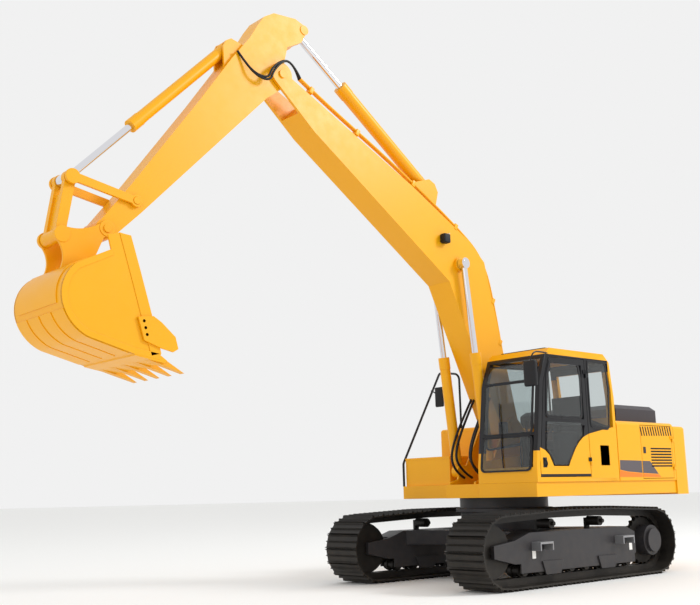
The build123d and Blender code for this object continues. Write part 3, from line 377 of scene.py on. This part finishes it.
def two_tone(piece, second, cuts, is_second):
    """Cuts the faces along planes and gives some of them a second finish."""
    bm = bmesh.new()
    bm.from_mesh(piece.data)
    for point, normal in cuts:
        bmesh.ops.bisect_plane(bm, geom=bm.verts[:] + bm.edges[:] + bm.faces[:],
                               plane_co=point, plane_no=normal)
    for face in bm.faces:
        face.material_index = int(is_second(face.calc_center_median() - SWING))
    bm.to_mesh(piece.data)
    bm.free()
    piece.data.materials.append(second)


def level(z):
    return at(0, 0, z), (0, 0, 1)


def cab_is_black(place):
    waist = WAIST if place.x < PILLAR_X else SCREEN_WAIST
    return place.x > REAR_POST_X and waist < place.z + SWING.z < ROOF_BAND


two_tone(dressed("cab", yellow_enamel, 0.022), black_enamel,
         [level(WAIST), level(SCREEN_WAIST), level(ROOF_BAND), (at(PILLAR_X, 0, 0), (1, 0, 0)),
          (at(REAR_POST_X, 0, 0), (1, 0, 0))], cab_is_black)
dressed("cab_door", black_enamel, PANEL_EDGE)
# Woven seat cover: soft, matt and dark.
cloth = painted("seat_cloth", "#26262B", 0.85, peel=0.5)
dressed("operator_seat", cloth, 0.02)
SKIN_THICK = 0.003
DOOR_SKIN = [(-0.180, 1.368), (0.872, 1.368), (0.868, 1.700), (0.769, 1.667), (0.690, 1.610),
             (0.640, 1.530), (0.604, 1.468), (0.289, 1.468), (0.250, 1.530), (0.190, 1.610),
             (0.120, 1.700), (0.039, 1.779), (-0.060, 1.845), (-0.180, 1.889)]
REAR_SKIN = [(-0.828, 1.310), (-0.192, 1.310), (-0.192, 1.893), (-0.420, 1.935), (-0.640, 1.978),
             (-0.740, 1.990), (-0.828, 1.990)]
solid("door_skin", on_left(DOOR_SKIN, CAB_FACE), SKIN_THICK, yellow_enamel, "cab_door")
solid("rear_skin", on_left(REAR_SKIN, CAB_FACE), SKIN_THICK, yellow_enamel, "upper")


def rounded(points, radius, steps=6):
    """A closed outline with each corner turned by an arc."""
    shape = []
    for k, corner in enumerate(points):
        corner = Vector(corner)
        before = (Vector(points[k - 1]) - corner).normalized()
        after = (Vector(points[(k + 1) % len(points)]) - corner).normalized()
        half = before.angle(after) / 2
        reach = radius / max(0.2, abs(sin(half) / cos(half)))
        start, end = corner + before * reach, corner + after * reach
        for step in range(steps + 1):
            t = step / steps
            shape.append(start * (1 - t) ** 2 + corner * 2 * t * (1 - t) + end * t ** 2)
    return shape


def grown(points, amount):
    """The outline moved outwards from its middle by about an amount."""
    middle = sum((Vector(p) for p in points), Vector((0, 0))) / len(points)
    return [Vector(p) + (Vector(p) - middle).normalized() * amount for p in points]


def window(name, points, place, body, rim=0.045, radius=0.05):
    """A pane with a raised black rim; place turns the outline's two numbers into a place."""
    inner, outer = rounded(points, radius), rounded(grown(points, rim), radius + rim * 0.6)
    bm = bmesh.new()
    rows = [[bm.verts.new(place(*p, depth)) for p in loop]
            for loop, depth in ((outer, 0.0), (outer, 0.006), (inner, 0.007), (inner, 0.001))]
    for low, high in zip(rows, rows[1:]):
        for k in range(len(low)):
            nxt = (k + 1) % len(low)
            bm.faces.new((low[k], low[nxt], high[nxt], high[k]))
    bmesh.ops.recalc_face_normals(bm, faces=bm.faces)
    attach(built(f"{name}_rim", bm, rim_black), body)
    solid(f"{name}_glass", [place(*p, 0.002) for p in inner], 0.003, glass, body)


# Safety glass with a faint green-grey tint, clean and clear.
glass, tree, shader = surface("tinted_safety_glass")
shader.inputs["Base Color"].default_value = linear("#C9D2D2")
shader.inputs["Roughness"].default_value = 0.02
shader.inputs["Transmission Weight"].default_value = 1.0
# Rubber bonded round the panes, smooth and near black.
rim_black = painted("bonded_rim", "#141417", 0.28)
DOOR_UPPER = [(0.690, 2.110), (0.628, 2.600), (0.548, 2.800), (-0.020, 2.790), (-0.050, 2.600),
              (-0.040, 2.110)]
DOOR_LOWER = [(0.700, 2.030), (0.735, 1.680), (0.650, 1.595), (0.590, 1.490), (0.310, 1.490),
              (0.210, 1.625), (0.060, 1.795), (-0.035, 1.865), (-0.035, 2.030)]
REAR_PANE = [(-0.262, 2.010), (-0.262, 2.850), (-0.655, 2.850), (-0.690, 2.500), (-0.655, 1.990)]
RIGHT_PANE = [(-0.66, 1.99), (-0.20, 1.93), (0.06, 1.82), (0.74, 1.72), (0.63, 2.60),
              (0.55, 2.82), (-0.655, 2.85)]


def on_cab_left(x, z, depth):
    return at(x, CAB_FACE + depth, z)


def on_cab_right(x, z, depth):
    return at(x, CAB_RIGHT - depth, z)


def sloped(low, high):
    """Turns across, up and out into a place on a screen that leans between two points."""
    (x0, z0), (x1, z1) = low, high
    return lambda y, z, depth: at(x0 + (x1 - x0) * (z - z0) / (z1 - z0) + depth, y, z)


window("door_upper", DOOR_UPPER, on_cab_left, "cab_door")
window("rear_side", REAR_PANE, on_cab_left, "upper")
window("door_lower", DOOR_LOWER, on_cab_left, "cab_door", rim=0.012, radius=0.03)
window("right_side", RIGHT_PANE, on_cab_right, "upper")
on_screen, on_brow = sloped((0.945, 1.50), (0.800, 2.55)), sloped((0.800, 2.55), (0.655, 2.90))
SCREEN_RIGHT, SCREEN_LEFT = 0.47, 1.24
for name, low, high, on_it, radius in (("upper", 1.90, 2.54, on_screen, 0.04),
                                       ("lower", 1.43, 1.84, on_screen, 0.06),
                                       ("brow", 2.58, 2.80, on_brow, 0.04)):
    window(f"screen_{name}", [(SCREEN_RIGHT, low), (SCREEN_LEFT, low), (SCREEN_LEFT, high),
                              (SCREEN_RIGHT, high)], on_it, "upper", radius=radius)


def housing(name, low, high, material, body, edge=0.02, turn=0.0):
    """A moulded box with rounded edges, from its two far corners."""
    bm = bmesh.new()
    bmesh.ops.create_cube(bm, size=1)
    size = Vector(high) - Vector(low)
    bmesh.ops.scale(bm, verts=bm.verts, vec=size)
    bmesh.ops.bevel(bm, geom=bm.edges[:], offset=edge, segments=4, profile=0.5,
                    affect="EDGES", clamp_overlap=True)
    bmesh.ops.rotate(bm, verts=bm.verts, matrix=Matrix.Rotation(turn, 3, "Y"))
    bmesh.ops.translate(bm, verts=bm.verts, vec=(Vector(low) + Vector(high)) / 2)
    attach(built(name, bm, material, smooth=True), body)


def tubing(name, places, radius, material, body=None, blend=None, rings=12):
    """A smooth round tube through places; it rides on one body, or stays on no body if blend is
    set.
    """
    curve = bpy.data.curves.new(name, "CURVE")
    curve.dimensions = "3D"
    curve.bevel_depth, curve.bevel_resolution, curve.resolution_u = radius, 3, rings
    curve.use_fill_caps = True
    line = curve.splines.new("NURBS")
    line.points.add(len(places) - 1)
    for point, where in zip(line.points, places):
        point.co = (*where, 1)
    line.use_endpoint_u, line.order_u = True, 3
    holder = bpy.data.objects.new(name, curve)
    bpy.context.collection.objects.link(holder)
    bpy.context.view_layer.update()
    mesh = bpy.data.meshes.new_from_object(
        holder.evaluated_get(bpy.context.evaluated_depsgraph_get()))
    bpy.data.objects.remove(holder)
    mesh.shade_smooth()
    mesh.materials.clear()
    mesh.materials.append(material)
    piece = bpy.data.objects.new(name, mesh)
    bpy.context.collection.objects.link(piece)
    if blend:
        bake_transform(piece)
    else:
        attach(piece, body)


# Moulded nylon and ABS: dark, with a fine grain that kills the gloss.
black_plastic = painted("grained_plastic", "#17171A", 0.55, peel=0.2)
housing("roof_hatch", at(-0.35, 0.50, 2.988), at(0.50, 1.24, 3.012), black_enamel, "upper", 0.01)
housing("door_pull", at(0.745, 1.353, 1.450), at(0.825, 1.362, 1.575), black_plastic, "cab_door",
        0.004)
tubing("door_handle", [at(0.765, 1.362, 1.47), at(0.772, 1.385, 1.48), at(0.790, 1.388, 1.54),
                       at(0.800, 1.362, 1.56)], 0.009, black_enamel, "cab_door")
tubing("wiper_arm", [at(0.965, 0.83, 1.46), at(0.945, 0.80, 1.62), at(0.905, 0.76, 1.95),
                     at(0.855, 0.72, 2.30)], 0.007, black_plastic, "upper")
housing("rear_vent", at(-0.630, 1.3545, 1.475), at(-0.425, 1.358, 1.745), black_plastic, "upper",
        0.002)
housing("cab_mirror", at(0.960, 1.275, 2.460), at(1.030, 1.470, 2.790), black_plastic, "upper",
        0.03)
tubing("cab_mirror_arm", [at(0.56, 1.340, 2.915), at(0.75, 1.375, 2.92), at(0.98, 1.40, 2.90),
                          at(0.99, 1.375, 2.78)], 0.010, black_enamel, "upper")
housing("rail_mirror", at(-0.030, -1.240, 2.440), at(0.010, -1.075, 2.740), black_plastic,
        "upper", 0.025)
tubing("rail_mirror_arm", [at(-0.02, -1.337, 2.70), at(-0.03, -1.28, 2.68),
                           at(-0.02, -1.20, 2.62)], 0.009, black_enamel, "upper")
solid("monitor_glass", [at(0.552, y, z) for y, z in ((0.50, 1.92), (0.60, 1.92), (0.60, 2.06),
                                                      (0.50, 2.06))], 0.004, glass, "upper")
housing("monitor", at(0.56, 0.49, 1.90), at(0.62, 0.61, 2.08), black_plastic, "upper", 0.01)
for number, y in enumerate((0.60, 1.12)):
    housing(f"console_{number}", at(-0.20, y - 0.07, 1.36), at(0.22, y + 0.07, 1.93),
            black_plastic, "upper", 0.04)
    tubing(f"stick_{number}", [at(0.15, y, 1.90), at(0.17, y, 2.0), at(0.15, y, 2.10)], 0.016,
           black_plastic, "upper")
for number, y in enumerate((0.78, 0.90)):
    tubing(f"travel_lever_{number}", [at(0.52, y, 1.40), at(0.56, y, 1.6), at(0.50, y, 1.93)],
           0.011, black_plastic, "upper")

# ---------------------------------------------------------------- boom and arm
# Box-section steel in yellow enamel, pinned together and moved by cylinders with chromed rods.
# Hard pipes are clamped along the boom's back, and rubber hoses carry the oil over the joints
# at its foot and its tip. The working light is bolted to its left side.
BOOM_EDGE = 0.006
for node in ("boom", "boom_cylinders", "arm", "arm_cylinder", "bucket_cylinder", "side_links",
             "bucket_link"):
    dressed(node, yellow_enamel, BOOM_EDGE)
# Hard chrome, ground and polished: a bright mirror along the rod.
chrome, tree, shader = surface("hard_chrome")
shader.inputs["Base Color"].default_value = linear("#E4E4E8")
shader.inputs["Metallic"].default_value = 1
shader.inputs["Roughness"].default_value = 0.08
for node in ("boom_rods", "arm_rod", "bucket_rod"):
    dressed(node, chrome, 0.002, 40)
JOINTS = {joint["name"]: Vector(joint["pos_m"]) for joint in frame["record"]["behaviour"]["joints"]
          if "pos_m" in joint}
FOOT, TIP, BUCKET_HINGE = (JOINTS[name] for name in ("boom_lift", "arm_crowd", "bucket_curl"))


def along(origin, towards, x, y, z):
    """A place in a link's own frame: x from its pin to the next, z square to it and up."""
    run = (towards - origin).normalized()
    rise = Vector((-run.z, 0, run.x))
    return origin + run * x + rise * z + Vector((0, y, 0))


def on_boom(x, y, z):
    return along(FOOT, TIP, x, y, z)


def on_arm(x, y, z):
    return along(TIP, BUCKET_HINGE, x, y, z)


PIPE_RADIUS, TIP_HOSE_RADIUS, FOOT_HOSE_RADIUS = 0.015, 0.014, 0.017
CLAMP_HALVES, CLAMP_TURN = Vector((0.03, 0.045, 0.045)), -0.43
BOOM_BACK = ((0.75, 0.62), (1.56, 1.150), (2.02, 1.325), (2.49, 1.272), (3.90, 0.85),
             (5.15, 0.372), (5.60, 0.232))
for side in (-1, 1):
    for across in (0.145, 0.182):
        tubing(f"boom_pipe_{side}_{across}", [on_boom(x, side * across, z) for x, z in BOOM_BACK],
               PIPE_RADIUS, yellow_enamel, "boom", rings=8)
for number, (x, z) in enumerate(((0.95, 0.745), (1.45, 1.07), (2.65, 1.225), (3.55, 0.965),
                                 (4.60, 0.585), (5.40, 0.295))):
    for side in (-1, 1):
        clamp = on_boom(x, side * 0.163, z - 0.022)
        housing(f"pipe_clamp_{number}_{side}", clamp - CLAMP_HALVES, clamp + CLAMP_HALVES,
                yellow_enamel, "boom", 0.008, CLAMP_TURN)
# A frosted polycarbonate lens: white and half gloss.
lens_white, tree, shader = surface("frosted_lens")
shader.inputs["Base Color"].default_value = linear("#F2F2EC")
shader.inputs["Roughness"].default_value = 0.25
housing("lamp_case", on_boom(2.60, 0.203, 0.84),
        on_boom(2.60, 0.303, 0.84) + Vector((0.12, 0, 0.13)), black_plastic, "boom", 0.02)
solid("lamp_lens", [on_boom(2.693 + 0.016 * c, 0.201 + y, 0.845 + 0.095 * c)
                    for y, c in ((0.008, 0), (0.088, 0), (0.088, 1), (0.008, 1))],
      -0.004, lens_white, "boom")
# Wire-braided hose under a smooth rubber cover.
rubber = painted("hose_rubber", "#141416", 0.5, peel=0.1)
REACH = (TIP - FOOT).length
for side, y in (("left", 0.205), ("right", -0.205)):
    out = 1 if y > 0 else -1
    for number, beside in enumerate((0.0, 0.036)):
        route = [on_boom(REACH - 0.19, y - out * (0.023 + beside), 0.232),
                 on_boom(REACH - 0.05, y, 0.235), on_boom(REACH + 0.12, y + out * 0.02, 0.17),
                 on_arm(0.12, y + out * 0.05, 0.12 + beside),
                 on_arm(0.28, y + out * 0.05, 0.04 + beside),
                 on_arm(0.40, y + out * 0.03, 0.20 + beside), on_arm(0.38, y - out * 0.02, 0.42),
                 on_arm(0.36, y - out * 0.04, 0.55)]
        tubing(f"tip_hose_{side}_{number}", route, TIP_HOSE_RADIUS, rubber,
               blend=("boom", "arm", route[1], route[4]))
    for number in range(2):
        low = y * 0.6 + out * 0.05 * number
        start = at(0.50 + 0.1 * number, low, 1.36)
        route = [start, start + Vector((0.22, 0, 0.10)), at(0.86, low, 1.72 + 0.05 * number),
                 on_boom(0.60, low, 0.20), on_boom(0.66, y * 0.8, 0.54),
                 on_boom(0.72, y - out * (0.023 + 0.036 * number), 0.62)]
        tubing(f"foot_hose_{side}_{number}", route, FOOT_HOSE_RADIUS, rubber,
               blend=("upper", "boom", route[1], route[4]))

# ---------------------------------------------------------------- bucket
# One thick plate is rolled round the back between two side plates; a doubler lies on its
# upper bend, four wear straps on its sole, and two ears stand on it for the pins. Cast teeth
# stand on the lip, and side cutters are bolted to the cheeks.
LEAN_DOWN = radians(-14.9)
PIN_SPAN, HALF_WIDTH, EAR_SIDE = 0.507, 0.540, 0.181
SKIN, CHEEK_PLATE, RAISED = 0.028, 0.024, 0.003
BOSS_RADIUS, PIN_RADIUS = 0.086, 0.045
BOLT_RADIUS, BOLT_HEIGHT = 0.018, 0.014


def on_bucket(x, y, z):
    return along(BUCKET_HINGE, BUCKET_HINGE + Vector((cos(LEAN_DOWN), 0, sin(LEAN_DOWN))),
                 x, y, z)


def arc(a, b, c, steps=14):
    """Points on the circle through three points, from the first to the last."""
    (ax, ay), (bx, by), (cx, cy) = a, b, c
    d = 2 * (ax * (by - cy) + bx * (cy - ay) + cx * (ay - by))
    sq = [p[0] ** 2 + p[1] ** 2 for p in (a, b, c)]
    ux = (sq[0] * (by - cy) + sq[1] * (cy - ay) + sq[2] * (ay - by)) / d
    uy = (sq[0] * (cx - bx) + sq[1] * (ax - cx) + sq[2] * (bx - ax)) / d
    radius = hypot(ax - ux, ay - uy)
    start, end = atan2(ay - uy, ax - ux), atan2(cy - uy, cx - ux)
    if d < 0 and end > start:
        end -= 2 * pi
    if d > 0 and end < start:
        end += 2 * pi
    return [(ux + radius * cos(start + (end - start) * k / steps),
             uy + radius * sin(start + (end - start) * k / steps)) for k in range(steps + 1)]


def inset(path, amount):
    """The path moved to its right by an amount."""
    moved = []
    for k, p in enumerate(path):
        a, b = path[max(0, k - 1)], path[min(len(path) - 1, k + 1)]
        span = hypot(b[0] - a[0], b[1] - a[1])
        moved.append((p[0] + (b[1] - a[1]) / span * amount, p[1] - (b[0] - a[0]) / span * amount))
    return moved


def plate(bm, outline, y0, y1):
    """A plate with this side view between two places across the bucket."""
    rows = [[bm.verts.new(on_bucket(x, y, z)) for x, z in outline] for y in (y0, y1)]
    bm.faces.new(rows[0])
    bm.faces.new(rows[1][::-1])
    for k in range(len(outline)):
        nxt = (k + 1) % len(outline)
        bm.faces.new((rows[0][nxt], rows[0][k], rows[1][k], rows[1][nxt]))


def disc(x, z, radius, sides):
    """A round or many-sided outline about a middle."""
    return [(x + radius * cos(2 * pi * k / sides), z + radius * sin(2 * pi * k / sides))
            for k in range(sides)]


BACK = arc((0.600, -0.345), (0.780, -0.500), (0.836, -0.690)) + arc(
    (0.836, -0.690), (0.786, -0.900), (0.640, -1.072))[1:]
SKIN_PATH = [(0.205, -0.262)] + BACK + [(0.200, -1.322), (-0.070, -1.434)]
MOUTH = [(-0.098, -1.378), (-0.088, -1.000), (-0.066, -0.504), (-0.046, -0.150)]
MOUTH_BAND = MOUTH + [(0.075, -0.108), (0.055, -0.504), (0.035, -1.000), (0.020, -1.378)]
CHEEK = SKIN_PATH + MOUTH + [(0.068, -0.105), (0.205, -0.110)]
EAR = (arc((0.010, 0.086), (0.235, 0.030), (0.482, 0.084))
       + arc((0.590, -0.020), (0.545, -0.200), (0.655, -0.385))
       + [(0.600, -0.360), (0.205, -0.275), (0.060, -0.090), (-0.060, -0.060)])
bm = bmesh.new()
plate(bm, SKIN_PATH + inset(SKIN_PATH, SKIN)[::-1], -HALF_WIDTH, HALF_WIDTH)
for out in (-1, 1):
    inner, outer = out * (HALF_WIDTH - SKIN), out * (HALF_WIDTH - SKIN + CHEEK_PLATE)
    proud = out * (HALF_WIDTH + RAISED)
    plate(bm, CHEEK, inner, outer)
    plate(bm, inset(SKIN_PATH, -0.001) + inset(SKIN_PATH, 0.062)[::-1], outer, proud)
    plate(bm, MOUTH_BAND, outer, proud)
    plate(bm, EAR, out * (EAR_SIDE - 0.015), out * (EAR_SIDE + 0.015))
    for centre in ((0, 0), (PIN_SPAN, 0)):
        plate(bm, disc(*centre, BOSS_RADIUS, 40), out * (EAR_SIDE - 0.019),
              out * (EAR_SIDE + 0.022))
plate(bm, disc(0, 0, PIN_RADIUS, 32), -EAR_SIDE - 0.035, EAR_SIDE + 0.035)
UPPER_STRAP = [(0.430, -0.308)] + BACK[:15]
plate(bm, inset(UPPER_STRAP, -0.012) + inset(UPPER_STRAP, 0.004)[::-1], -0.43, 0.43)
LOWER_STRAP = BACK[16:] + [(0.250, -1.295)]
for y in (-0.405, -0.135, 0.135, 0.405):
    plate(bm, inset(LOWER_STRAP, -0.010) + inset(LOWER_STRAP, 0.004)[::-1], y - 0.118, y + 0.118)
plate(bm, [(0.215, -1.270), (-0.095, -1.398), (-0.150, -1.462), (-0.112, -1.478),
           (0.196, -1.338)], -HALF_WIDTH, HALF_WIDTH)
bmesh.ops.recalc_face_normals(bm, faces=bm.faces)
bucket = built("bucket_finished", bm, yellow_enamel)
softened(bucket, 0.004, 28)
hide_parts("bucket")
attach(bucket, "bucket")
# Cast alloy steel, painted at the works and rubbed dusty.
tooth_steel = painted("cast_tooth_steel", "#F0A81C", 0.4, dust=0.4, peel=0.1)
dressed("bucket_teeth", tooth_steel, 0.006)
dressed("side_cutters", yellow_enamel, 0.003)
for number, z in enumerate((-1.02, -1.09, -1.16)):
    for out in (-1, 1):
        solid(f"cutter_bolt_{number}_{out}",
              [on_bucket(x, out * (HALF_WIDTH + 0.024), z)
               for x, z in disc(0.03, z, BOLT_RADIUS, 6)[::out]],
              BOLT_HEIGHT, tooth_steel, "bucket")
